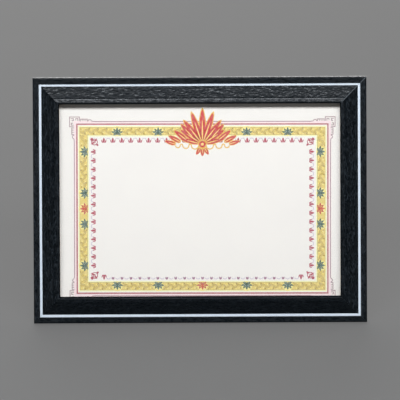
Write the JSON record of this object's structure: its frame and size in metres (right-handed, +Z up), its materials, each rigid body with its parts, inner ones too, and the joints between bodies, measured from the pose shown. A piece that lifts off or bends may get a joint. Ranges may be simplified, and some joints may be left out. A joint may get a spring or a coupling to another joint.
{
  "type": "certificate frame",
  "caption": "Landscape certificate frame: black mitred moulding with a white inlaid line, clear glazing, fibreboard back held by turn buttons, folding strut and hanging ring.",
  "frame": {"origin": "on the table, under the middle of the frame leaning open on its strut", "axes": "+X along the frame's width, +Z up, the certificate faces -Y"},
  "size_m": [0.342, 0.0836, 0.2466],
  "materials": {
    "moulding": "black stain, satin",
    "white_line": "satin",
    "glazing": "clear",
    "certificate": "printed card",
    "fibreboard": "pressed fibre",
    "plated_steel": "zinc",
    "fastener_steel": "bright"
  },
  "bodies": {
    "frame": {"bottom_rail": "moulding", "top_rail": "moulding", "left_stile": "moulding", "right_stile": "moulding", "inlay_bottom": "white_line", "inlay_top": "white_line", "inlay_left": "white_line", "inlay_right": "white_line", "corner_nails": "fastener_steel", "glazing": "glazing", "certificate": "certificate", "backboard": "fibreboard", "button_screws": "fastener_steel", "hinge_fixed_leaf": "plated_steel", "hinge_pin": "plated_steel", "fixed_leaf_rivets": "fastener_steel", "hanger_strap": "plated_steel", "hanger_rivet": "fastener_steel"},
    "strut": {"easel_strut": "fibreboard", "hinge_moving_leaf": "plated_steel", "strut_rivets": "fastener_steel"},
    "ring": {"hanger_ring": "plated_steel"},
    "turn_button_bottom_left": {"turn_button_bottom_left": "plated_steel"},
    "turn_button_bottom_right": {"turn_button_bottom_right": "plated_steel"},
    "turn_button_top_left": {"turn_button_top_left": "plated_steel"},
    "turn_button_top_right": {"turn_button_top_right": "plated_steel"},
    "turn_button_left": {"turn_button_left": "plated_steel"},
    "turn_button_right": {"turn_button_right": "plated_steel"}
  },
  "joints": [
    {"name": "strut_hinge", "type": "hinge", "parent": "frame", "child": "strut", "pos_m": [0, 0.00979, 0.14435], "axis": [1, 0, 0], "range_deg": [-27, 0]},
    {"name": "ring_swing", "type": "hinge", "parent": "frame", "child": "ring", "pos_m": [0, 0.02401, 0.19748], "axis": [1, 0, 0], "range_deg": [-15, 165]},
    {"name": "turn_button_bottom_left_pivot", "type": "hinge", "parent": "frame", "child": "turn_button_bottom_left", "pos_m": [-0.085, -0.02716, 0.01397], "axis": [0, 0.9659, -0.2588], "continuous": true},
    {"name": "turn_button_bottom_right_pivot", "type": "hinge", "parent": "frame", "child": "turn_button_bottom_right", "pos_m": [0.085, -0.02716, 0.01397], "axis": [0, 0.9659, -0.2588], "continuous": true},
    {"name": "turn_button_top_left_pivot", "type": "hinge", "parent": "frame", "child": "turn_button_top_left", "pos_m": [-0.085, 0.03068, 0.22985], "axis": [0, 0.9659, -0.2588], "continuous": true},
    {"name": "turn_button_top_right_pivot", "type": "hinge", "parent": "frame", "child": "turn_button_top_right", "pos_m": [0.085, 0.03068, 0.22985], "axis": [0, 0.9659, -0.2588], "continuous": true},
    {"name": "turn_button_left_pivot", "type": "hinge", "parent": "frame", "child": "turn_button_left", "pos_m": [-0.1565, 0.00176, 0.12191], "axis": [0, 0.9659, -0.2588], "continuous": true},
    {"name": "turn_button_right_pivot", "type": "hinge", "parent": "frame", "child": "turn_button_right", "pos_m": [0.1565, 0.00176, 0.12191], "axis": [0, 0.9659, -0.2588], "continuous": true}
  ]
}
